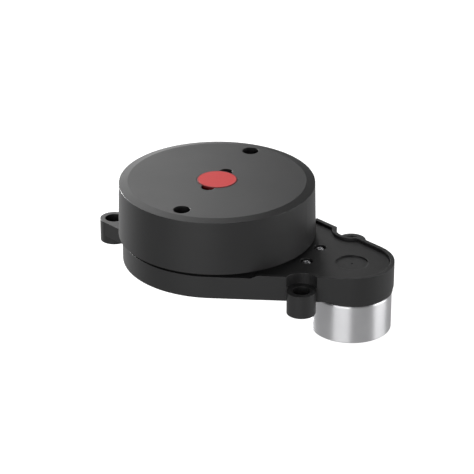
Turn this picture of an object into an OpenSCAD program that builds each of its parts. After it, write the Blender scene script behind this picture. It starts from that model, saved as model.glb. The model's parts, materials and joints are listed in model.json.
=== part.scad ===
// Belt-driven spinning laser range finder: a bowl-shaped base with a motor lobe, and a head
// that turns on a thin ball bearing. Origin: the head's axis in the plane of the mounting
// ears' lower faces. +Z up, +X from the head's axis towards the motor's axis. Millimetres.

/* [Base] */
// Outer radius of the bowl
bowl_r = 38; // [37.6:0.1:38.4]
// Outer radius of the motor lobe
lobe_r = 16.7; // [16.5:0.1:17]
// Distance from the head's axis to the motor's axis
motor_x = 58.6; // [58:0.1:59.2]
// Height of the base's underside above the mounting plane
base_z = 3.4; // [3.2:0.1:3.6]
// Height of the bowl's wall
bowl_h = 9.2; // [9.1:0.1:9.3]
// Extra height of the rim around the motor lobe
lobe_rise = 1.2; // [1:0.1:1.3]
// Width of the rim around the belt cover
rim_w = 1.7; // [1.5:0.1:1.9]

/* [Mounting ears] */
// Outer radius of each ear
ear_r = 5.7; // [5.5:0.1:5.8]
// Height of each ear
ear_h = 9.4; // [9.2:0.1:9.6]
// Radius of the deep pocket in each ear
ear_pocket_r = 3.6; // [3.2:0.1:3.8]
// Radius of the screw hole through each ear's floor
ear_hole_r = 1.75; // [1.6:0.05:1.9]
// Thickness of each ear's floor
ear_floor = 2; // [1.5:0.1:3]

/* [Head] */
// Radius of the head at its upper edge
head_r = 39; // [38.8:0.1:39.2]
// Radius of the head at its lower edge
head_foot_r = 39.5; // [39.3:0.1:39.7]
// Radius of the flat top inside the bevel
head_flat_r = 35.5; // [35:0.1:36]
// Height of the head's cover, from its lower edge to its flat top
head_h = 22.35; // [22:0.05:22.6]
// Depth of the bevel around the top
bevel_h = 0.75; // [0.6:0.05:0.9]
// Open gap between the bowl's rim and the head
head_gap = 1.8; // [1.7:0.1:2]
// Wall thickness of the head's cover
head_wall = 1.8; // [1.6:0.1:1.9]
// Radius of the round badge
badge_r = 7.95; // [7.6:0.05:8.1]

/* [Drive] */
// Radius of the motor's can
can_r = 16; // [15.8:0.1:16.2]
// Length of the motor's can
can_h = 16.35; // [16:0.05:16.6]
// Pitch radius of the belt on the motor's pulley
pulley_pitch_r = 4.2; // [4:0.1:4.4]
// Turns of the motor for one turn of the head
drive_ratio = 8; // [7.8:0.1:8]
// Radius of the round belt's section
belt_r = 0.6; // [0.5:0.05:0.65]

/* [Bearing] */
// Number of balls
ball_count = 18; // [12:1:18]
// Radius of each ball
ball_r = 0.75; // [0.7:0.01:0.76]

/* [Encoder] */
// Number of slots in the encoder ring
slot_count = 15; // [12:1:20]

/* [Hidden] */
$fn = 96;
eps = 0.01;
cut = 40;

// Heights in the base
rim_z = base_z + bowl_h;
lobe_rim_z = rim_z + lobe_rise;
web_z = base_z + 3.2;
web_t = 1.6;
web_top = web_z + web_t;
floor_t = 1.6;
collar_z = base_z - 1.85;
collar_r = lobe_r - 0.35;
collar_floor = 2;
collar_top = collar_z + collar_floor;
cover_t = 1;
cover_top = rim_z + 0.1;
cover_z = cover_top - cover_t;
bowl_wall = 1.8;
bowl_bore_r = bowl_r - bowl_wall;
ledge_w = 1;
cup_r = 3.2;
cup_wall = 0.7;
cup_z = cover_top - 2;
cover_dish_r = 6.4;
cover_dish_depth = 0.6;
cover_dot_r = 0.4;
ramp_x = 28.8;
ramp_l = 2.4;
belt_gate_x = 25.2;
cover_bore_r = bowl_bore_r + 0.3;

// Ears: one beside each flank of the lobe, and one behind the bowl
flank_ear = [48.1, 24.7];
tail_ear = [-47.8, 1.3];
scallop_r = ear_r + 0.7;
scallop_wall = 1.5;
boss_r = scallop_r + scallop_wall;
tail_flare = 20.6;
tail_root_x = -33;

// Heights in the head
head_z = rim_z + head_gap;
head_top = head_z + head_h;
shoulder_z = head_top - bevel_h;
roof_t = 2;
roof_z = head_top - roof_t;
head_bore_r = head_r - head_wall;

// Badge: a red disc pressed into the roof, with a socket at each side to pry it out
badge_seat_z = head_top - 1.4;
badge_proud = 0.12;
pry_socket_at = [-0.05, 8.2];
pry_socket_r = 2.7;

// Turntable and belt
belt_z = base_z + 7.2;
head_pitch_r = pulley_pitch_r * drive_ratio;
groove_slack = 0.1;
groove_foot = 0.75;
groove_mouth = 1.6;
table_r = bowl_bore_r - 0.6;
table_foot_z = web_top + 0.6;
table_web_z = base_z + 9.5;
table_web_t = 1.5;
table_web_top = table_web_z + table_web_t;
flange_r = head_bore_r - 0.15;
flange_top = head_z + 1.5;
table_ring_r = 32;

// Bearing
race_h = 4;
race_z = web_top;
race_mid = race_z + race_h / 2;
hub_r = 7.5;
hub_bore_r = 4.5;
inner_race_r = 8.55;
outer_race_bore_r = 9.55;
seat_r = 10.5;
seat_wall = 1.8;
ball_pitch_r = (inner_race_r + outer_race_bore_r) / 2;
ball_play = 0.04;
cage_wall = 0.3;
cage_h = 2.4;
web_bore_r = 9.8;
hub_foot_z = web_z + 0.1;
clip_h = 0.7;
shoulder_h = table_web_z - race_z - race_h;

// Wireless power and data link
coil_in_r = 14;
coil_out_r = 24;
ferrite_t = 0.8;
coil_t = 1;

// Encoder
encoder_r = 28;
encoder_t = 1;
encoder_h = 3;
slot_w = 3;

// Boards and screws
board_t = 1.1;
base_board_z = web_z - 0.2 - board_t;
base_board_r = 33;
plate_t = 0.9;
plate_r = bowl_bore_r - 0.1;
plate_recess = 0.4;
plate_top = base_z + plate_t;
head_board_z = table_web_top + 2.6;
head_board_r = 31.5;
head_board_top = head_board_z + board_t;
header_at = [0, 24];
header_size = [12, 4.6, 6];
header_z = base_board_z - header_size[2];
lead_ports = [[33.4, 9], [33.4, 6.4]];
lead_port_r = 1.8;
lead_r = 0.55;
lead_end_z = base_board_z - 0.6;

// Chips: place of the middle, then width, depth and height
BASE_CHIPS = [
    [[17, 0], [7, 7, 0.8]], [[0, -19], [5, 4, 0.8]], [[-12, -16], [4, 3, 0.8]], [[20, 14], [3.5, 3, 0.8]]
];
HEAD_CHIPS = [
    [[8, -10], [9, 9, 1.2]], [[-9, -8], [6, 5, 1.1]], [[-17, -14], [5, 5, 2.6]], [[-6, -19], [4, 4, 1]]
];
small_chip = [1.2, 2, 0.6];

// Fasteners: places and sizes
cover_screws_at = [[42.1, 6.5], [42.1, -6.5]];
plate_screws_at = [for (a = [45 : 90 : 315]) 29 * [cos(a), sin(a)]];
head_screws_at = [[0, 31], [0, -31]];
board_screws_at = [for (a = [75, 195, 315]) 27.5 * [cos(a), sin(a)]];
frame_screws_at = [[-4, 11], [4, 11]];
motor_screws_at = [[motor_x, 11.5], [motor_x, -11.5]];
small_shank_r = 0.9;
small_head_r = 1.7;
motor_screw_r = 1;
screw_play = 0.2;
cover_boss_r = 2.6;
plate_boss_r = 2.4;
head_post_r = 3;
head_well_r = 3.3;
head_boss_r = 4.5;
head_joint_z = 27.9;
head_screw_z = head_joint_z + 1.5;

// Optics: the laser and the lens both look along +Y
laser_x = -22;
lens_x = 18;
optics_z = 25.4;
laser_r = 4;
lens_r = 6;
laser_port = [9, 8];
lens_port = [12, 12];
pane_lap = 1;
frame_y = 8;
frame_d = 7;
frame_h = 15;
pane_t = 1;

// Motor
can_wall = 0.9;
can_round = 1.1;
can_foot_round = 0.4;
can_notch = 1.4;
can_notches_at = [-132, 48];
can_foot = collar_z - can_h;
shaft_r = 1;
shaft_play = 0.03;
bush_r = 3;
magnet_r = can_r - can_wall;
core_r = 11.6;
core_z = can_foot + 5;
core_h = 6;

/* ---- shared shapes ---- */

// A tube standing on z
module tube(outer, inner, z, h) {
    translate([0, 0, z])
        difference() {
            cylinder(r = outer, h = h);
            translate([0, 0, -eps]) cylinder(r = inner, h = h + 2 * eps);
        }
}

// A disc standing on z
module disc(r, z, h) {
    translate([0, 0, z]) cylinder(r = r, h = h);
}

// A plate with its centre at xy, standing on z
module slab(xy, size, z) {
    translate([xy[0] - size[0] / 2, xy[1] - size[1] / 2, z]) cube(size);
}

// A screw: cross-recessed round head standing on z, shank below it
module screw(at, z, head_r, head_h, shank_r, shank_l) {
    translate([at[0], at[1], z])
        difference() {
            union() {
                cylinder(r = head_r, h = head_h * 0.6);
                translate([0, 0, head_h * 0.6]) cylinder(r1 = head_r, r2 = head_r * 0.7, h = head_h * 0.4);
                translate([0, 0, -shank_l]) cylinder(r = shank_r, h = shank_l + eps);
            }
            for (a = [0, 90])
                rotate([0, 0, a]) translate([-head_r * 0.55, -head_r * 0.13, head_h * 0.45])
                    cube([head_r * 1.1, head_r * 0.26, head_h]);
        }
}

// Block with the base's outline in plan: two round ends and the band that touches both
module base_block(inset, z, h) {
    lean = asin((bowl_r - lobe_r) / motor_x);
    big = bowl_r - inset;
    small = lobe_r - inset;
    disc(big, z, h);
    translate([motor_x, 0, 0]) disc(small, z, h);
    translate([0, 0, z])
        linear_extrude(h)
            polygon([
                [big * sin(lean), big * cos(lean)],
                [motor_x + small * sin(lean), small * cos(lean)],
                [motor_x + small * sin(lean), -small * cos(lean)],
                [big * sin(lean), -big * cos(lean)]
            ]);
}

// Both places of the ears beside the lobe
module at_flank_ears() {
    for (side = [1, -1])
        translate([flank_ear[0], side * flank_ear[1], 0]) children();
}

// V groove section of a belt pulley, pointing at the axis
module groove_section(pitch) {
    foot = pitch - belt_r - groove_slack;
    polygon([[foot, -groove_foot], [foot, groove_foot], [foot + 3, groove_mouth], [foot + 3, -groove_mouth]]);
}

/* ---- base ---- */

// Ear behind the bowl: a round post, and an arm that flares towards the bowl. The arm starts
// a little inside the post, so that its flanks cross it and don't just touch.
module tail_ear_body() {
    c = cos(tail_flare);
    s = sin(tail_flare);
    flank_r = ear_r - 0.05;
    reach = tail_root_x - tail_ear[0];
    root_y = flank_r / c + reach * s / c;
    translate([tail_ear[0], tail_ear[1], 0]) {
        cylinder(r = ear_r, h = ear_h);
        translate([0, 0, base_z])
            linear_extrude(ear_h - base_z)
                polygon([
                    [-flank_r * s, flank_r * c], [reach, root_y],
                    [reach, -root_y], [-flank_r * s, -flank_r * c]
                ]);
    }
}

// Hollow of the lobe beyond start_x, kept clear of the scalloped walls around the ears
module lobe_hollow(inset, z, top, inner_r, start_x) {
    difference() {
        base_block(inset, z, top - z);
        at_flank_ears() disc(boss_r, z - eps, top - z + 2 * eps);
        disc(inner_r, z - eps, top - z + 2 * eps);
        translate([-100, -50, z - eps]) cube([100 + start_x, 100, top - z + 2 * eps]);
    }
}

// Room above the bowl's rim that the raised lobe rim leaves free, with its ramp
module rim_step() {
    translate([0, 50, 0])
        rotate([90, 0, 0])
            linear_extrude(100)
                polygon([
                    [-100, rim_z], [ramp_x, rim_z], [ramp_x + ramp_l, lobe_rim_z],
                    [ramp_x + ramp_l, lobe_rim_z + 5], [-100, lobe_rim_z + 5]
                ]);
}

module base_housing() {
    color("dimgray")
        difference() {
            union() {
                difference() {
                    union() {
                        base_block(0, base_z, bowl_h + lobe_rise);
                        tail_ear_body();
                    }
                    rim_step();
                    disc(bowl_bore_r, web_top, cut);
                    disc(bowl_bore_r, -1, web_z + 1);
                    lobe_hollow(rim_w + ledge_w, base_z + floor_t, cover_z + eps, bowl_r, belt_gate_x);
                    lobe_hollow(rim_w + ledge_w, web_top, cover_z + eps, bowl_bore_r - 1, belt_gate_x);
                    lobe_hollow(rim_w, cover_z, lobe_rim_z + 1, bowl_bore_r - 1, ramp_x);
                }
                translate([motor_x, 0, 0]) disc(collar_r, collar_z, base_z + floor_t - collar_z);
                at_flank_ears() disc(ear_r, 0, ear_h);
                for (p = cover_screws_at) translate(p) disc(cover_boss_r, base_z + 0.5, cup_z - base_z - 0.5);
                tube(seat_r + seat_wall, seat_r, web_top - eps, race_h);
                for (p = plate_screws_at) translate(p) disc(plate_boss_r, plate_top, web_z - plate_top + eps);
            }
            translate([motor_x, 0, 0]) disc(collar_r - rim_w - ledge_w, collar_top, 6);
            at_flank_ears() {
                disc(scallop_r, ear_h, cut);
                disc(ear_pocket_r, ear_floor, cut);
                disc(ear_hole_r, -eps, cut);
            }
            translate([tail_ear[0], tail_ear[1], 0]) {
                disc(ear_pocket_r, ear_floor, cut);
                disc(ear_hole_r, -eps, cut);
            }
            translate([motor_x, 0, 0]) disc(bush_r + 0.2, collar_z - eps, cut);
            for (p = motor_screws_at) translate(p) disc(motor_screw_r + screw_play, collar_z - eps, cut);
            for (p = cover_screws_at) translate(p) disc(small_shank_r, base_z + 2.5, cut);
            for (p = plate_screws_at) translate(p) disc(small_shank_r, base_z - eps, 2.9);
            disc(web_bore_r, base_z - eps, cut);
        }
}

module belt_cover() {
    color("dimgray")
        difference() {
            union() {
                base_block(rim_w + 0.1, cover_z, cover_t);
                for (p = cover_screws_at) translate(p) disc(cup_r, cup_z, cover_z - cup_z + eps);
            }
            disc(cover_bore_r, cover_z - eps, 2);
            translate([-100, -50, cover_z - eps]) cube([100 + ramp_x + 0.2, 100, 2]);
            at_flank_ears() disc(boss_r + 0.1, cover_z - eps, 2);
            translate([motor_x, 0, 0]) {
                disc(cover_dish_r, cover_top - cover_dish_depth, cover_t);
                disc(cover_dot_r, cover_z - eps, 2);
            }
            for (p = cover_screws_at) translate(p) {
                disc(cup_r - cup_wall, cup_z + cup_wall, cut);
                disc(small_shank_r + screw_play, cup_z - eps, cut);
            }
        }
}

module belt_cover_screws() {
    color("silver")
        for (p = cover_screws_at) screw(p, cup_z + cup_wall, small_head_r, 1, small_shank_r, 4.4);
}

module bottom_cover() {
    color([0.2, 0.2, 0.21])
        difference() {
            disc(plate_r, base_z, plate_t);
            for (p = plate_screws_at) translate(p) {
                disc(small_shank_r + screw_play, base_z - eps, 2);
                disc(small_head_r + 0.3, base_z - eps, plate_recess + eps);
            }
            slab(header_at, [header_size[0] + 0.6, header_size[1] + 0.6, 4], base_z - 1);
            for (p = lead_ports) translate(p) disc(lead_port_r, base_z - eps, 2);
        }
}

module bottom_cover_screws() {
    color("silver")
        for (p = plate_screws_at)
            translate([0, 0, 2 * base_z + plate_recess]) mirror([0, 0, 1])
                screw(p, base_z, small_head_r, 0.9, small_shank_r, 2.3);
}

// Controller board hung under the web, and what is soldered to it
module base_board() {
    color("darkgreen")
        difference() {
            disc(base_board_r, base_board_z, board_t);
            disc(web_bore_r, base_board_z - eps, 2);
            for (p = plate_screws_at) translate(p) disc(plate_boss_r + 0.2, base_board_z - eps, 2);
            slab([base_board_r, 8], [6, 10, 4], base_board_z - 1);
        }
}

module base_board_chips() {
    color([0.08, 0.08, 0.09]) {
        for (chip = BASE_CHIPS) slab(chip[0], chip[1], base_board_z - chip[1][2]);
        for (i = [0 : 4]) slab([-18 + 2.4 * i, 14], small_chip, base_board_z - small_chip[2]);
        for (i = [0 : 5]) slab([14 + 2.2 * i, -9], small_chip, base_board_z - small_chip[2]);
    }
}

module connector_header() {
    color("ivory")
        difference() {
            slab(header_at, header_size, header_z);
            slab(header_at, [header_size[0] - 1.4, header_size[1] - 1.4, 5], header_z - 0.2);
            slab([header_at[0], header_at[1] + 2], [3, 2, 2.4], header_z - 0.1);
        }
}

module connector_pins() {
    color("gold")
        for (i = [-2 : 2])
            slab([header_at[0] + 2 * i, header_at[1]], [0.5, 0.5, 4.2], base_board_z - 5.4);
}

/* ---- power and data link, encoder ---- */

module stator_ferrite() {
    color([0.25, 0.25, 0.27]) tube(coil_out_r, coil_in_r, web_top, ferrite_t);
}

module stator_coil() {
    color("peru") tube(coil_out_r - 0.8, coil_in_r + 0.8, web_top + ferrite_t, coil_t);
}

module rotor_ferrite() {
    color([0.25, 0.25, 0.27]) tube(coil_out_r, coil_in_r, table_web_z - ferrite_t, ferrite_t);
}

module rotor_coil() {
    color("peru") tube(coil_out_r - 0.8, coil_in_r + 0.8, table_web_z - ferrite_t - coil_t, coil_t);
}

// Infrared emitter on the base's board, looking up through the hub
module data_emitter() {
    color([0.6, 0.75, 0.9]) {
        disc(3.4, base_board_z - 0.4, 1.6);
        disc(1.5, base_board_z + 1.2 - eps, 1.5);
        translate([0, 0, base_board_z + 2.7 - eps]) cylinder(r1 = 1.5, r2 = 0.7, h = 0.8);
        for (side = [1, -1]) slab([side * 6.7, 0], [8, 2, 0.4], base_board_z - 0.4);
    }
}

// Infrared receiver hung from the head's board above the hub
module data_receiver() {
    color([0.1, 0.1, 0.12]) {
        disc(1.8, head_board_z - 1.8, 1.8);
        translate([0, 0, head_board_z - 2.6]) cylinder(r1 = 0.8, r2 = 1.4, h = 0.8 + eps);
    }
}

module encoder_ring() {
    color([0.12, 0.12, 0.12])
        difference() {
            union() {
                tube(encoder_r + encoder_t / 2, encoder_r - encoder_t / 2, web_top, encoder_h);
                tube(encoder_r + 1.6, encoder_r - 1.6, web_top, 0.6);
            }
            for (i = [0 : slot_count - 1])
                rotate([0, 0, i * 360 / slot_count])
                    slab([encoder_r, 0], [4, i == 0 ? slot_w / 2 : slot_w, 4], web_top + 0.9);
        }
}

// Forked slot sensor that straddles the encoder ring
module slot_sensor() {
    color([0.15, 0.15, 0.17])
        difference() {
            slab([0, -encoder_r], [5, 6, table_web_z - web_top - 1], web_top + 1);
            slab([0, -encoder_r], [6, 2.4, table_web_z - web_top - 2], web_top + 0.8);
        }
}

/* ---- bearing ---- */

module ball_track() {
    rotate_extrude() translate([ball_pitch_r, 0]) circle(r = ball_r + ball_play, $fn = 48);
}

module bearing_outer_race() {
    color("lightsteelblue")
        difference() {
            tube(seat_r, outer_race_bore_r, race_z, race_h);
            translate([0, 0, race_mid]) ball_track();
        }
}

module bearing_inner_race() {
    color("lightsteelblue")
        difference() {
            tube(inner_race_r, hub_r, race_z, race_h);
            translate([0, 0, race_mid]) ball_track();
        }
}

module at_balls() {
    for (i = [0 : ball_count - 1])
        rotate([0, 0, i * 360 / ball_count]) translate([ball_pitch_r, 0, race_mid]) children();
}

module bearing_balls() {
    color("silver") at_balls() sphere(r = ball_r, $fn = 32);
}

module bearing_cage() {
    color("khaki")
        difference() {
            tube(ball_pitch_r + cage_wall, ball_pitch_r - cage_wall, race_mid - cage_h / 2, cage_h);
            at_balls()
                rotate([0, 90, 0]) cylinder(r = ball_r + ball_play / 2, h = 2, center = true, $fn = 32);
        }
}

/* ---- motor ---- */

// Quarter round from one edge direction to the next, as a list of points
function arc(cx, cy, r, from, to, n) =
    [for (i = [0 : n]) [cx + r * cos(from + (to - from) * i / n), cy + r * sin(from + (to - from) * i / n)]];

module motor_can() {
    top = collar_z;
    foot_r = can_r - can_foot_round;
    color("silver")
        translate([motor_x, 0, 0])
            difference() {
                rotate_extrude()
                    polygon(concat(
                        [[bush_r, top - can_wall], [bush_r, top]],
                        arc(can_r - can_round, top - can_round, can_round, 90, 0, 5),
                        arc(foot_r, can_foot + can_foot_round, can_foot_round, 0, -90, 3),
                        [[can_r - can_wall, can_foot], [can_r - can_wall, top - can_wall]]
                    ));
                for (p = motor_screws_at)
                    translate([p[0] - motor_x, p[1], 0]) disc(motor_screw_r, top - 2, cut);
                for (a = can_notches_at)
                    rotate([0, 0, a]) slab([can_r, 0], [4, can_notch, can_notch], can_foot - can_notch / 2);
            }
}

module motor_magnets() {
    color([0.3, 0.3, 0.32])
        translate([motor_x, 0, 0])
            difference() {
                tube(magnet_r, core_r + 0.5, core_z - 1, core_h + 2);
                slab([0, 0], [40, 6, 12], core_z - 2);
            }
}

module motor_end_cap() {
    color([0.9, 0.9, 0.86])
        translate([motor_x, 0, 0])
            difference() {
                union() {
                    disc(magnet_r - 0.05, can_foot + 0.3, 1.7);
                    disc(4.2, can_foot - 1.2, 1.6);
                }
                disc(bush_r, can_foot - 1.3, 4);
                for (x = [-1, 1]) slab([3 * x, 9.5], [2.2, 0.8, 4], can_foot - 0.5);
            }
}

module motor_brushes() {
    color("goldenrod")
        translate([motor_x, 0, 0])
            for (s = [-1, 1]) {
                slab([s * 2.75, 2.6], [0.3, 8, 1.2], can_foot + 2.4);
                slab([s * 4, 6.4], [2.5, 0.3, 1.6], can_foot + 2);
            }
}

module motor_terminals() {
    color("lightgoldenrodyellow")
        translate([motor_x, 0, 0])
            for (x = [-1, 1])
                difference() {
                    slab([3 * x, 9.5], [2, 0.5, 5], can_foot - 2.2);
                    translate([3 * x, 9.5, can_foot - 1.3])
                        rotate([90, 0, 0]) cylinder(r = 0.45, h = 2, center = true);
                }
}

module motor_bushes() {
    color("darkgoldenrod")
        translate([motor_x, 0, 0]) {
            tube(bush_r, shaft_r + shaft_play, collar_z - can_wall, can_wall + 1.6);
            tube(bush_r, shaft_r + shaft_play, can_foot - 1.1, 2.6);
        }
}

module motor_screws() {
    color("silver")
        for (p = motor_screws_at) screw(p, collar_top, 2, 1.2, motor_screw_r, 3.4);
}

// A lead as short straight stretches through its points
module lead(points, r) {
    for (i = [0 : len(points) - 2])
        hull() {
            translate(points[i]) sphere(r = r, $fn = 10);
            translate(points[i + 1]) sphere(r = r, $fn = 10);
        }
}

// Two leads from the motor's terminals, up behind the can and in through the bottom cover
module motor_leads() {
    color("firebrick")
        lead([
            [motor_x + 3, 10.3, can_foot - 1.4], [motor_x + 2.6, 14.6, can_foot - 1.6],
            [motor_x + 1, 17.4, can_foot - 0.6], [motor_x - 1.5, 17.5, can_foot + 3],
            [motor_x - 3.5, 17.3, 0], [50, 16, 1.6], [36, 10, 2.2],
            [lead_ports[0][0], lead_ports[0][1], base_z - 0.2],
            [lead_ports[0][0] - 0.8, lead_ports[0][1], lead_end_z]
        ], lead_r);
    color([0.1, 0.1, 0.1])
        lead([
            [motor_x - 3, 10.3, can_foot - 1.4], [motor_x - 3.6, 14, can_foot - 1.6],
            [motor_x - 5, 16.8, can_foot - 0.6], [motor_x - 6.2, 16.4, can_foot + 3],
            [motor_x - 6.8, 15.9, -0.6], [48, 13.4, 1.4], [36, 7.2, 2],
            [lead_ports[1][0], lead_ports[1][1], base_z - 0.2],
            [lead_ports[1][0] - 0.8, lead_ports[1][1], lead_end_z]
        ], lead_r);
}

module motor_shaft() {
    color("lightgray")
        translate([motor_x, 0, 0]) disc(shaft_r, can_foot - 0.9, cover_z - can_foot + 0.5);
}

module motor_pulley() {
    color([0.93, 0.93, 0.9])
        translate([motor_x, 0, 0])
            difference() {
                union() {
                    disc(pulley_pitch_r + 1.2, belt_z - 1.9, 2.7);
                    disc(2.6, belt_z - 3.9, 2 + eps);
                }
                disc(shaft_r, belt_z - 5, 8);
                translate([0, 0, belt_z]) rotate_extrude() groove_section(pulley_pitch_r);
            }
}

module motor_core() {
    color([0.45, 0.45, 0.48])
        translate([motor_x, 0, 0])
            difference() {
                union() {
                    disc(4, core_z, core_h);
                    intersection() {
                        tube(core_r, core_r - 1.6, core_z, core_h);
                        for (a = [0, 120, 240])
                            rotate([0, 0, a]) slab([10, 0], [12, 15, core_h], core_z);
                    }
                    for (a = [0, 120, 240])
                        rotate([0, 0, a]) slab([7, 0], [8, 3, core_h], core_z);
                }
                disc(shaft_r, core_z - 1, core_h + 2);
            }
}

module motor_windings() {
    color("chocolate")
        translate([motor_x, 0, 0])
            for (a = [0, 120, 240])
                rotate([0, 0, a])
                    difference() {
                        slab([6.8, 0], [5, 7, core_h + 2], core_z - 1);
                        slab([7, 0], [8, 3, core_h], core_z);
                    }
}

module motor_commutator() {
    color("sandybrown")
        translate([motor_x, 0, 0])
            difference() {
                tube(2.5, shaft_r, can_foot + 2.2, 2.4);
                for (a = [30, 150, 270]) rotate([0, 0, a]) slab([2.5, 0], [1, 0.4, 4], can_foot + 2);
            }
}

/* ---- belt ---- */

// Round belt: an arc on each pulley and the two straight stretches that touch both
module drive_belt() {
    lean = asin((head_pitch_r - pulley_pitch_r) / motor_x);
    run = motor_x * cos(lean);
    color([0.07, 0.07, 0.07])
        translate([0, 0, belt_z]) {
            rotate([0, 0, 90 - lean])
                rotate_extrude(angle = 180 + 2 * lean)
                    translate([head_pitch_r, 0]) circle(r = belt_r, $fn = 24);
            translate([motor_x, 0, 0])
                rotate([0, 0, lean - 90])
                    rotate_extrude(angle = 180 - 2 * lean)
                        translate([pulley_pitch_r, 0]) circle(r = belt_r, $fn = 24);
            for (side = [1, -1])
                rotate([0, 0, side * (90 - lean)])
                    translate([head_pitch_r, 0, 0])
                        rotate([side * 90, 0, 0]) cylinder(r = belt_r, h = run, $fn = 24);
        }
}

/* ---- turning head ---- */

module turntable() {
    color([0.16, 0.16, 0.17])
        difference() {
            union() {
                disc(hub_r, hub_foot_z, table_web_top - hub_foot_z);
                disc(inner_race_r + 0.1, race_z + race_h, shoulder_h + eps);
                disc(table_ring_r + 1, table_web_z, table_web_t);
                tube(table_r, table_ring_r, table_foot_z, flange_top - table_foot_z);
                tube(flange_r, table_ring_r, head_z, flange_top - head_z);
                for (p = head_screws_at)
                    translate(p) disc(head_post_r, table_web_z, head_joint_z - table_web_z);
                for (p = board_screws_at) translate(p) disc(2.2, table_web_z, head_board_z - table_web_z);
            }
            disc(hub_bore_r, hub_foot_z - eps, cut);
            translate([0, 0, belt_z]) rotate_extrude() groove_section(head_pitch_r);
            for (p = head_screws_at) translate(p) disc(small_shank_r, optics_z - 6, cut);
            for (p = board_screws_at) translate(p) disc(small_shank_r, table_web_z - eps, cut);
        }
}

module hub_clip() {
    color("silver")
        difference() {
            tube(inner_race_r + 0.1, hub_r, race_z - clip_h - 0.1, clip_h);
            slab([inner_race_r, 0], [4, 3, 3], race_z - 2);
        }
}

module head_board() {
    color("darkgreen")
        difference() {
            disc(head_board_r, head_board_z, board_t);
            for (p = head_screws_at) translate(p) disc(head_post_r + 0.6, head_board_z - eps, 2);
            for (p = board_screws_at) translate(p) disc(small_shank_r + screw_play, head_board_z - eps, 2);
            for (p = frame_screws_at) translate(p) disc(small_shank_r + screw_play, head_board_z - eps, 2);
        }
}

module head_board_screws() {
    color("silver")
        for (p = board_screws_at) screw(p, head_board_top, small_head_r, 1, small_shank_r, 4);
}

module head_board_chips() {
    color([0.08, 0.08, 0.09]) {
        for (chip = HEAD_CHIPS) slab(chip[0], chip[1], head_board_top);
        for (i = [0 : 5]) slab([-12 + 4.4 * i, -25], small_chip, head_board_top);
        for (i = [0 : 3]) slab([20, -14 + 3.4 * i], small_chip, head_board_top);
    }
}

// Carrier that holds the laser and the lens in line
module optics_frame() {
    color([0.18, 0.18, 0.2])
        difference() {
            union() {
                slab([(laser_x + lens_x) / 2, frame_y], [lens_x - laser_x + 15, frame_d, 3], head_board_top);
                slab([laser_x, frame_y], [11, frame_d, frame_h], head_board_top);
                slab([lens_x, frame_y], [15, frame_d, frame_h], head_board_top);
                slab([0, frame_screws_at[0][1]], [14, 6, 3], head_board_top);
            }
            translate([laser_x, 0, optics_z]) rotate([-90, 0, 0]) cylinder(r = laser_r, h = cut);
            translate([lens_x, 0, optics_z]) rotate([-90, 0, 0]) cylinder(r = lens_r, h = cut);
            for (p = frame_screws_at) translate(p) disc(small_shank_r + 0.1, head_board_top - eps, 4);
        }
}

module optics_frame_screws() {
    color("silver")
        for (p = frame_screws_at) screw(p, head_board_top + 3, small_head_r, 1, small_shank_r, 4.6);
}

module laser_barrel() {
    color("goldenrod")
        translate([laser_x, 0, optics_z])
            rotate([-90, 0, 0])
                difference() {
                    tube(laser_r, 2.2, 2, 15);
                    disc(3.2, 14.6, 3);
                    disc(3, 1.9, 3);
                }
}

module laser_lens() {
    color([0.7, 0.8, 0.95])
        translate([laser_x, 0, optics_z])
            rotate([-90, 0, 0]) {
                disc(3.2, 14.6, 0.8);
                translate([0, 0, 15.4 - eps]) cylinder(r1 = 3, r2 = 1.6, h = 0.6);
            }
}

module laser_diode() {
    color("gold")
        translate([laser_x, 0, optics_z])
            rotate([-90, 0, 0]) {
                disc(2.8, 3.4, 1.4);
                disc(1.8, 4.8 - eps, 1.6);
                for (x = [-1.2, 1.2]) translate([x, 0, 0]) disc(0.25, 0.2, 3.3);
            }
}

module lens_barrel() {
    color([0.07, 0.07, 0.08])
        translate([lens_x, 0, optics_z])
            rotate([-90, 0, 0])
                difference() {
                    union() {
                        tube(lens_r, 4.2, 3.4, 14);
                        tube(lens_r + 0.9, 4.2, 15.4, 4);
                    }
                    disc(5.4, 17.8, 3);
                }
}

module lens_glass() {
    color([0.5, 0.55, 0.75])
        translate([lens_x, 0, optics_z])
            rotate([-90, 0, 0]) {
                disc(5.4, 17.8, 0.7);
                translate([0, 0, 18.5 - eps]) cylinder(r1 = 5, r2 = 3, h = 0.7);
            }
}

// Small upright board behind the lens, with its sensor chip
module image_sensor() {
    color("darkgreen")
        difference() {
            slab([lens_x, 1.8], [15, 1, 15], head_board_top);
            slab([lens_x, 1.8], [1, 3, 1], head_board_top + 13.2);
        }
    color([0.1, 0.1, 0.1]) slab([lens_x, 2.8], [7, 1, 5], optics_z - 2.5);
}

// Curved pane fixed inside the cover's wall, a little larger than the port in front of it
module pane(x, port) {
    outer = head_bore_r - 0.05;
    h = port[1] + 2 * pane_lap;
    intersection() {
        tube(outer, outer - pane_t, optics_z - h / 2, h);
        slab([x, 30], [port[0] + 2 * pane_lap, 40, h], optics_z - h / 2);
    }
}

module laser_window() {
    color([0.35, 0.05, 0.08, 0.7]) pane(laser_x, laser_port);
}

module lens_window() {
    color([0.25, 0.03, 0.06, 0.7]) pane(lens_x, lens_port);
}

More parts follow.
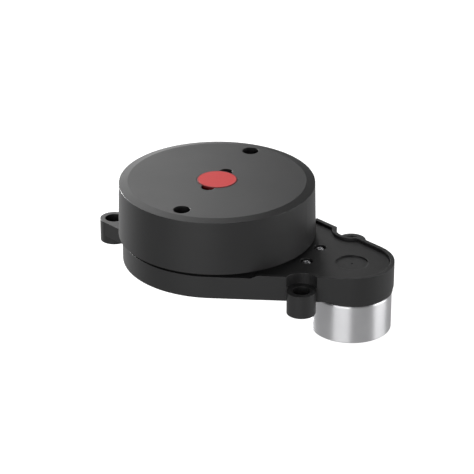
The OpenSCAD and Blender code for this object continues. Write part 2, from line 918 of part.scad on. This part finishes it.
module head_cover() {
    color([0.4, 0.4, 0.41])
        difference() {
            union() {
                rotate_extrude()
                    polygon([
                        [0, head_top], [head_flat_r, head_top], [head_r, shoulder_z],
                        [head_foot_r, head_z], [head_bore_r, head_z],
                        [head_bore_r, roof_z - 1.5], [head_bore_r - 2, roof_z], [0, roof_z]
                    ]);
                for (p = head_screws_at)
                    translate(p) disc(head_boss_r, head_joint_z, roof_z - head_joint_z + 0.5);
            }
            for (p = head_screws_at) translate(p) {
                disc(head_well_r, head_screw_z, cut);
                disc(small_shank_r + screw_play, optics_z, cut);
            }
            disc(badge_r + 0.15, badge_seat_z, cut);
            for (side = [1, -1]) translate(side * pry_socket_at) disc(pry_socket_r, badge_seat_z, cut);
            slab([laser_x, 35], [laser_port[0], 20, laser_port[1]], optics_z - laser_port[1] / 2);
            slab([lens_x, 35], [lens_port[0], 20, lens_port[1]], optics_z - lens_port[1] / 2);
        }
}

module head_screws() {
    color("silver")
        for (p = head_screws_at) screw(p, head_screw_z, 2.4, 1.7, small_shank_r, 7);
}

module head_badge() {
    color([0.81, 0.34, 0.34]) disc(badge_r, badge_seat_z, head_top + badge_proud - badge_seat_z);
}

/* ---- one line for each part ---- */

base_housing();
belt_cover();
belt_cover_screws();
bottom_cover();
bottom_cover_screws();
base_board();
base_board_chips();
connector_header();
connector_pins();
stator_ferrite();
stator_coil();
data_emitter();
encoder_ring();
bearing_outer_race();
motor_can();
motor_magnets();
motor_end_cap();
motor_brushes();
motor_terminals();
motor_bushes();
motor_screws();
motor_leads();
drive_belt();
bearing_balls();
bearing_cage();
motor_shaft();
motor_pulley();
motor_core();
motor_windings();
motor_commutator();
turntable();
bearing_inner_race();
hub_clip();
rotor_ferrite();
rotor_coil();
data_receiver();
slot_sensor();
head_board();
head_board_chips();
head_board_screws();
optics_frame();
optics_frame_screws();
laser_barrel();
laser_lens();
laser_diode();
lens_barrel();
lens_glass();
image_sensor();
laser_window();
lens_window();
head_cover();
head_screws();
head_badge();
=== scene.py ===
"""Looks of the lidar scanner module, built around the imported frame. Metres, +Z up."""

import json
import math

import bmesh
import bpy
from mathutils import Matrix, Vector


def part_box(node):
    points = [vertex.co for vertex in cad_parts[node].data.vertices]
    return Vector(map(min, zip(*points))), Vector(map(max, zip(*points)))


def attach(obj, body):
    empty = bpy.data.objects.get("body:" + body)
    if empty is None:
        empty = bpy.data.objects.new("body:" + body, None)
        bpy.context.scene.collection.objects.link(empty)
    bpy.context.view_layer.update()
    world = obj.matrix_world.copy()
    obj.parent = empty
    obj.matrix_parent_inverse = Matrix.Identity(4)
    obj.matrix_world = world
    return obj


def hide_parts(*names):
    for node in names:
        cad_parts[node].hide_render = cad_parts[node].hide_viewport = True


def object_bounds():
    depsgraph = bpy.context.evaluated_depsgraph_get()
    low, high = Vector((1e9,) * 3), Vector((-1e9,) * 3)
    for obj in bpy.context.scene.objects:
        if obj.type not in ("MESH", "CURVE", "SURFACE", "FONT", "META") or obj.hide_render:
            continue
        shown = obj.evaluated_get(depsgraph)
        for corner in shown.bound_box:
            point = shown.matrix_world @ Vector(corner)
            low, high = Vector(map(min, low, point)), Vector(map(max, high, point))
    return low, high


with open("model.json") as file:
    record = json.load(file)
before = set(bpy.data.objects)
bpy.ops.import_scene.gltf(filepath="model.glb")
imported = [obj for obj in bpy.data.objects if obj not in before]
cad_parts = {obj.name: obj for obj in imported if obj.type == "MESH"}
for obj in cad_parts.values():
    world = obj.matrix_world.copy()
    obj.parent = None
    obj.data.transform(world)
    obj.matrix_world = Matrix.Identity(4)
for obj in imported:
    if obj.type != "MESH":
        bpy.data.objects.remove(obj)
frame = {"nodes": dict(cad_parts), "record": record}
cad_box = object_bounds()
NODES = frame["nodes"]
MM = 0.001
EDGE_RADIUS = 0.3 * MM
EDGE_SAMPLES = 6


# ---------------------------------------------------------------- materials

class Finish:
    """A new material with a Principled shader, and short calls for its texture nodes."""

    def __init__(self, name, roughness, metallic=0.0):
        self.material = bpy.data.materials.new(name)
        self.material.use_nodes = True
        self.tree = self.material.node_tree
        self.shader = self.tree.nodes["Principled BSDF"]
        self.shader.inputs["Metallic"].default_value = metallic
        self.shader.inputs["Roughness"].default_value = roughness
        self.place = self.tree.nodes.new("ShaderNodeTexCoord").outputs["Object"]

    def noise(self, per_metre, detail=2.0, stretch=(1.0, 1.0, 1.0)):
        """Noise whose features repeat about per_metre times in each metre."""
        mapping = self.tree.nodes.new("ShaderNodeMapping")
        mapping.inputs["Scale"].default_value = [per_metre * s for s in stretch]
        texture = self.tree.nodes.new("ShaderNodeTexNoise")
        texture.inputs["Scale"].default_value = 1.0
        texture.inputs["Detail"].default_value = detail
        self.tree.links.new(self.place, mapping.inputs["Vector"])
        self.tree.links.new(mapping.outputs["Vector"], texture.inputs["Vector"])
        return texture.outputs["Fac"]

    def ramp(self, value, stops):
        """Colours along a value, as (position, (r, g, b)) pairs."""
        node = self.tree.nodes.new("ShaderNodeValToRGB")
        while len(node.color_ramp.elements) < len(stops):
            node.color_ramp.elements.new(0.5)
        for element, (position, colour) in zip(node.color_ramp.elements, stops):
            element.position = position
            element.color = (*colour, 1.0)
        self.tree.links.new(value, node.inputs["Fac"])
        return node.outputs["Color"]

    def span(self, value, low, high):
        """A value from 0 to 1 mapped to low to high."""
        node = self.tree.nodes.new("ShaderNodeMapRange")
        node.inputs["To Min"].default_value = low
        node.inputs["To Max"].default_value = high
        self.tree.links.new(value, node.inputs["Value"])
        return node.outputs["Result"]

    def math(self, kind, a, b):
        """A sum, product or other operation on two values or numbers."""
        node = self.tree.nodes.new("ShaderNodeMath")
        node.operation = kind
        for socket, value in zip(node.inputs, (a, b)):
            if isinstance(value, (int, float)):
                socket.default_value = value
            else:
                self.tree.links.new(value, socket)
        return node.outputs["Value"]

    def colour(self, value):
        self.tree.links.new(value, self.shader.inputs["Base Color"])

    def roughness(self, value):
        self.tree.links.new(value, self.shader.inputs["Roughness"])

    def bump(self, height, strength, distance):
        node = self.tree.nodes.new("ShaderNodeBump")
        node.inputs["Strength"].default_value = strength
        node.inputs["Distance"].default_value = distance
        self.tree.links.new(height, node.inputs["Height"])
        self.tree.links.new(self.worn_edges(), node.inputs["Normal"])
        self.tree.links.new(node.outputs["Normal"], self.shader.inputs["Normal"])

    def worn_edges(self):
        """Shading that rounds every sharp edge a little, as moulding and tumbling leave it."""
        node = self.tree.nodes.new("ShaderNodeBevel")
        node.samples = EDGE_SAMPLES
        node.inputs["Radius"].default_value = EDGE_RADIUS
        return node.outputs["Normal"]


def shade(colour, factor):
    return tuple(c * factor for c in colour)


def moulded_plastic(name, colour, roughness, grain=2600.0, relief=0.35):
    """Spark-textured moulding: fine grain, faint flow marks and rubbed patches."""
    finish = Finish(name, roughness)
    flow = finish.noise(28.0, 4.0, (1.0, 1.0, 2.5))
    grains = finish.noise(grain, 3.0)
    rubbed = finish.noise(70.0, 6.0)
    tone = finish.math("MULTIPLY", finish.math("ADD", flow, grains), 0.5)
    finish.colour(finish.ramp(tone, [(0.25, shade(colour, 0.88)), (0.75, shade(colour, 1.12))]))
    finish.roughness(finish.span(rubbed, roughness - 0.04, roughness + 0.04))
    finish.bump(grains, relief, 0.03 * MM)
    return finish.material


def bright_steel(name, colour, roughness, grain, stretch, relief=0.15):
    """Plated or ground steel: fine lines along one direction and faint handling marks."""
    finish = Finish(name, roughness, 1.0)
    lines = finish.noise(grain, 3.0, stretch)
    marks = finish.noise(90.0, 5.0)
    finish.colour(finish.ramp(marks, [(0.3, shade(colour, 0.93)), (0.7, colour)]))
    finish.roughness(finish.span(lines, roughness - 0.06, roughness + 0.08))
    finish.bump(lines, relief, 0.01 * MM)
    return finish.material


def turned_can():
    """Zinc-plated can with fine turning rings, which stretch reflections up and down."""
    finish = Finish("motor_steel", 0.4, 1.0)
    rings = finish.noise(1.0, 4.0, (60.0, 60.0, 5200.0))
    marks = finish.noise(110.0, 5.0)
    finish.colour(finish.ramp(marks, [(0.3, (0.7, 0.7, 0.715)), (0.7, (0.76, 0.76, 0.775))]))
    finish.roughness(finish.span(marks, 0.37, 0.43))
    finish.bump(rings, 0.08, 0.01 * MM)
    finish.shader.inputs["Anisotropic"].default_value = 0.85
    finish.shader.inputs["Anisotropic Rotation"].default_value = 0.25
    around = finish.tree.nodes.new("ShaderNodeTangent")
    around.direction_type = "RADIAL"
    around.axis = "Z"
    finish.tree.links.new(around.outputs["Tangent"], finish.shader.inputs["Tangent"])
    return finish.material


def printed_badge():
    """Red printed disc, with painted shade as a thin dark ring along its edge and side, for the shadow of the
    recess around it.
    """
    low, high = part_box("head_badge")
    radius = (high.x - low.x) / 2
    finish = Finish("badge_red", 0.5)
    finish.shader.inputs["Specular IOR Level"].default_value = 0.3
    split = finish.tree.nodes.new("ShaderNodeSeparateXYZ")
    finish.tree.links.new(finish.place, split.inputs["Vector"])
    across = finish.math("MULTIPLY", split.outputs["X"], split.outputs["X"])
    along = finish.math("MULTIPLY", split.outputs["Y"], split.outputs["Y"])
    reach = finish.math("SQRT", finish.math("ADD", across, along), 0.0)
    share = finish.math("DIVIDE", reach, radius)
    red = (0.76, 0.04, 0.042)
    # painted shade: the rim and side of the disc turn dark, standing in for the shadow of the recess around
    # the badge
    finish.colour(finish.ramp(share, [(0.0, red), (0.925, red), (0.965, shade(red, 0.25))]))
    fibres = finish.noise(1500.0, 4.0)
    finish.roughness(finish.span(fibres, 0.44, 0.56))
    finish.bump(fibres, 0.15, 0.02 * MM)
    return finish.material


def circuit_board():
    """Green solder mask over faint copper areas."""
    finish = Finish("board_green", 0.32)
    copper = finish.noise(240.0, 0.0)
    finish.colour(finish.ramp(copper, [(0.45, (0.008, 0.075, 0.028)), (0.5, (0.02, 0.15, 0.055))]))
    finish.roughness(finish.span(finish.noise(600.0, 3.0), 0.26, 0.4))
    finish.bump(copper, 0.3, 0.02 * MM)
    return finish.material


def wound_copper():
    """Enamelled wire laid in fine turns."""
    finish = Finish("coil_copper", 0.3, 0.9)
    turns = finish.noise(1800.0, 2.0, (0.2, 0.2, 1.0))
    finish.colour(finish.ramp(turns, [(0.3, (0.3, 0.1, 0.035)), (0.7, (0.62, 0.27, 0.11))]))
    finish.bump(turns, 0.5, 0.05 * MM)
    return finish.material


def clear_glass(name, tint, roughness=0.04):
    """Coated optical glass or filter plastic that lets some light through."""
    finish = Finish(name, roughness)
    finish.shader.inputs["Transmission Weight"].default_value = 0.75
    finish.shader.inputs["IOR"].default_value = 1.49
    coat = finish.noise(60.0, 2.0)
    finish.colour(finish.ramp(coat, [(0.3, shade(tint, 0.85)), (0.7, tint)]))
    finish.roughness(finish.span(finish.noise(900.0, 3.0), roughness, roughness + 0.05))
    return finish.material


FINISHES = {
    "base_plastic": lambda: moulded_plastic("base_plastic", (0.016, 0.016, 0.0165), 0.43),
    "head_plastic": lambda: moulded_plastic("head_plastic", (0.016, 0.016, 0.0165), 0.43),
    "dark_plastic": lambda: moulded_plastic("dark_plastic", (0.012, 0.012, 0.013), 0.5),
    "badge_red": printed_badge,
    "motor_steel": turned_can,
    "screw_steel": lambda: bright_steel("screw_steel", (0.78, 0.78, 0.8), 0.2, 1500.0, (1.0, 1.0, 1.0)),
    "bearing_steel": lambda: bright_steel("bearing_steel", (0.7, 0.71, 0.73), 0.14, 1500.0, (0.1, 0.1, 1.0)),
    "belt_rubber": lambda: moulded_plastic("belt_rubber", (0.01, 0.01, 0.01), 0.62, 1800.0),
    "board_green": circuit_board,
    "chip_black": lambda: moulded_plastic("chip_black", (0.009, 0.009, 0.01), 0.55, 4000.0),
    "connector_cream": lambda: moulded_plastic("connector_cream", (0.66, 0.6, 0.46), 0.45, 2000.0, 0.15),
    "pin_brass": lambda: bright_steel("pin_brass", (0.8, 0.62, 0.3), 0.26, 1500.0, (1.0, 1.0, 0.1)),
    "ferrite_grey": lambda: moulded_plastic("ferrite_grey", (0.03, 0.03, 0.033), 0.6, 3000.0, 0.5),
    "coil_copper": wound_copper,
    "lamp_clear": lambda: clear_glass("lamp_clear", (0.6, 0.7, 0.85)),
    "nylon_white": lambda: moulded_plastic("nylon_white", (0.72, 0.71, 0.67), 0.42, 1800.0, 0.15),
    "bronze": lambda: bright_steel("bronze", (0.55, 0.36, 0.16), 0.42, 3000.0, (1.0, 1.0, 1.0), 0.4),
    "core_steel": lambda: bright_steel("core_steel", (0.35, 0.35, 0.38), 0.4, 1800.0, (0.02, 0.02, 1.0), 0.5),
    "lead_red": lambda: moulded_plastic("lead_red", (0.4, 0.02, 0.02), 0.45, 1500.0, 0.12),
    "optic_glass": lambda: clear_glass("optic_glass", (0.55, 0.6, 0.78)),
    "window_red": lambda: clear_glass("window_red", (0.16, 0.01, 0.02)),
    "cage_resin": lambda: moulded_plastic("cage_resin", (0.5, 0.4, 0.22), 0.5, 2000.0),
}


def finish_cad_nodes():
    """Each CAD node gets the finish of its slot in the record."""
    made = {slot: make() for slot, make in FINISHES.items()}
    for part in frame["record"]["subparts"]:
        node = NODES[part["node"]]
        node.data.materials.clear()
        node.data.materials.append(made[part["material_slot"]])
    return made


# ---------------------------------------------------------------- leads

LEAD_RADIUS = 0.55 * MM
BEAD_RADIUS = 0.95 * MM
SOLDER_SLOT = "screw_steel"
# Places along each lead in millimetres, from its terminal to the inside of the base
RED_LEAD = (
    (60.6, 10.3, -16.1), (60.2, 14.6, -16.25), (58.6, 18.6, -15.4), (56.1, 18.8, -11.8), (54.1, 18.6, -0.6),
    (50.0, 18.0, 1.6), (44.0, 14.8, 2.0), (36.0, 10.0, 2.2), (33.4, 9.0, 3.2), (32.6, 9.0, 4.7),
)
BLACK_LEAD = (
    (54.6, 10.3, -16.1), (54.0, 14.0, -16.25), (52.6, 18.0, -15.4), (51.4, 17.7, -11.8), (50.8, 17.4, -1.0),
    (47.0, 14.9, 1.3), (36.0, 7.2, 2.0), (33.4, 6.4, 3.2), (32.6, 6.4, 4.7),
)


def piece(name, mesh, body, node, material):
    """A new smooth piece that rides on a body and stands in for a CAD node."""
    for face in mesh.polygons:
        face.use_smooth = True
    made = bpy.data.objects.new(name, mesh)
    bpy.context.scene.collection.objects.link(made)
    made.data.materials.clear()
    made.data.materials.append(material)
    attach(made, body)
    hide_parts(node)


def lead_mesh(name, places):
    """A round lead that bends smoothly through its places, given in millimetres."""
    points = [Vector(place) * MM for place in places]
    curve = bpy.data.curves.new(name, "CURVE")
    curve.dimensions = "3D"
    curve.bevel_depth = LEAD_RADIUS
    curve.bevel_resolution = 5
    curve.use_fill_caps = True
    line = curve.splines.new("BEZIER")
    line.bezier_points.add(len(points) - 1)
    for i, bend in enumerate(line.bezier_points):
        before = points[max(i - 1, 0)]
        after = points[min(i + 1, len(points) - 1)]
        way = (after - before).normalized()
        bend.co = points[i]
        bend.handle_left = points[i] - way * (points[i] - before).length / 3
        bend.handle_right = points[i] + way * (after - points[i]).length / 3
    path = bpy.data.objects.new(name, curve)
    mesh = bpy.data.meshes.new_from_object(path)
    bpy.data.objects.remove(path)
    return mesh


def solder_mesh(name, place):
    """A bead of solder where a lead meets its terminal, a little uneven."""
    bead = bmesh.new()
    bmesh.ops.create_icosphere(bead, subdivisions=3, radius=BEAD_RADIUS)
    for vertex in bead.verts:
        side = math.atan2(vertex.co.y, vertex.co.x)
        vertex.co.x *= 0.9 + 0.08 * math.sin(3 * side)
        vertex.co.y *= 1.15
        vertex.co.z *= 0.62
        vertex.co += Vector(place) * MM
    mesh = bpy.data.meshes.new(name)
    bead.to_mesh(mesh)
    bead.free()
    return mesh


def leads(finishes):
    """The motor's red and black leads, with a solder bead at each terminal."""
    for colour, places, slot in (("red", RED_LEAD, "lead_red"), ("black", BLACK_LEAD, "dark_plastic")):
        name = "lead_" + colour
        piece(name, lead_mesh(name, places), "base", "motor_leads", finishes[slot])
        bead = "solder_" + colour
        piece(bead, solder_mesh(bead, places[0]), "base", "motor_leads", finishes[SOLDER_SLOT])


# ---------------------------------------------------------------- stage

VIEW_AZIMUTH = math.radians(25.62)
VIEW_ELEVATION = math.radians(26.1)
VIEW_DISTANCE = 0.9237
VIEW_AIM = Vector((0.0058, 0.0062, 0.0098))
FLOOR_SIZE = 8
FLOOR_GAP = 0.5 * MM
LIGHT_DISTANCE = 0.8
# Name, azimuth and elevation in degrees, width and height in metres, power in watts
LIGHTS = (
    ("sky", -12.0, 42.0, 0.3, 0.45, 1.03),
    ("horizon", -12.0, 8.0, 0.3, 0.45, 0.7),
    ("rim_left", -45.0, 8.0, 0.28, 0.45, 17.0),
    ("front_left", -157.0, 8.0, 0.68, 0.45, 3.0),
    ("front_top", 180.0, 52.0, 0.8, 0.35, 0.6),
    ("side_right", 98.0, 8.0, 0.55, 0.45, 3.0),
    ("high_right", 45.0, 42.0, 0.3, 0.45, 0.34),
)


def from_view(azimuth, elevation, distance):
    """A point seen from the origin: azimuth 0 is away from the camera, and 90 is to its right."""
    turn = VIEW_AZIMUTH - math.radians(azimuth)
    tilt = math.radians(elevation)
    level = math.cos(tilt)
    return distance * Vector((-math.sin(turn) * level, math.cos(turn) * level, math.sin(tilt)))


def camera():
    """The photograph's viewing angle: long lens, from the motor's side and above."""
    back = from_view(180.0, math.degrees(VIEW_ELEVATION), 1.0)
    data = bpy.data.cameras.new("camera")
    data.lens = 174.1
    data.sensor_width = 36.0
    data.clip_end = 20.0
    eye = bpy.data.objects.new("camera", data)
    eye.location = VIEW_AIM + back * VIEW_DISTANCE
    eye.rotation_euler = (-back).to_track_quat("-Z", "Y").to_euler()
    bpy.context.scene.collection.objects.link(eye)
    bpy.context.scene.camera = eye


def floor():
    """Pale floor that glows enough to stay white under the model, and isn't seen in reflections."""
    low = cad_box[0]
    bpy.ops.mesh.primitive_plane_add(size=FLOOR_SIZE, location=(0, 0, low[2] - FLOOR_GAP))
    ground = bpy.context.object
    ground.name = "floor"
    pale = Finish("floor_pale", 0.8)
    pale.colour(pale.ramp(pale.noise(3.0), [(0.0, (0.28, 0.28, 0.28)), (1.0, (0.32, 0.32, 0.32))]))
    pale.shader.inputs["Emission Color"].default_value = (1.0, 1.0, 1.0, 1.0)
    pale.shader.inputs["Emission Strength"].default_value = 1.0
    ground.data.materials.append(pale.material)
    ground.visible_glossy = False
    ground.visible_diffuse = False


def surround(above, below):
    """A room that is bright below and dim above, and white where the camera looks past the floor."""
    world = bpy.data.worlds.new("surround")
    world.use_nodes = True
    nodes = world.node_tree.nodes
    links = world.node_tree.links
    split = nodes.new("ShaderNodeSeparateXYZ")
    links.new(nodes.new("ShaderNodeTexCoord").outputs["Generated"], split.inputs["Vector"])
    height = nodes.new("ShaderNodeMapRange")
    height.interpolation_type = "SMOOTHSTEP"
    height.inputs["From Min"].default_value = -0.6
    height.inputs["From Max"].default_value = 0.9
    height.inputs["To Min"].default_value = below
    height.inputs["To Max"].default_value = above
    links.new(split.outputs["Z"], height.inputs["Value"])
    seen = nodes.new("ShaderNodeMix")
    links.new(nodes.new("ShaderNodeLightPath").outputs["Is Camera Ray"], seen.inputs["Factor"])
    links.new(height.outputs["Result"], seen.inputs["A"])
    seen.inputs["B"].default_value = 1.0
    links.new(seen.outputs["Result"], nodes["Background"].inputs["Strength"])
    nodes["Background"].inputs["Color"].default_value = (1.0, 1.0, 1.0, 1.0)
    bpy.context.scene.world = world


def soft_box(name, at, width, height, power):
    """A rectangular area light at a place, aimed at the model's middle."""
    light = bpy.data.lights.new(name, "AREA")
    light.shape = "RECTANGLE"
    light.size = width
    light.size_y = height
    light.energy = power
    lamp = bpy.data.objects.new(name, light)
    lamp.location = at
    lamp.rotation_euler = (-Vector(at)).to_track_quat("-Z", "Y").to_euler()
    lamp.visible_camera = False
    bpy.context.scene.collection.objects.link(lamp)


camera()
floor()
surround(above=0.04, below=0.48)
bpy.context.scene.view_settings.view_transform = "Standard"
for name, azimuth, elevation, width, height, power in LIGHTS:
    soft_box(name, from_view(azimuth, elevation, LIGHT_DISTANCE), width, height, power)

finishes = finish_cad_nodes()
leads(finishes)
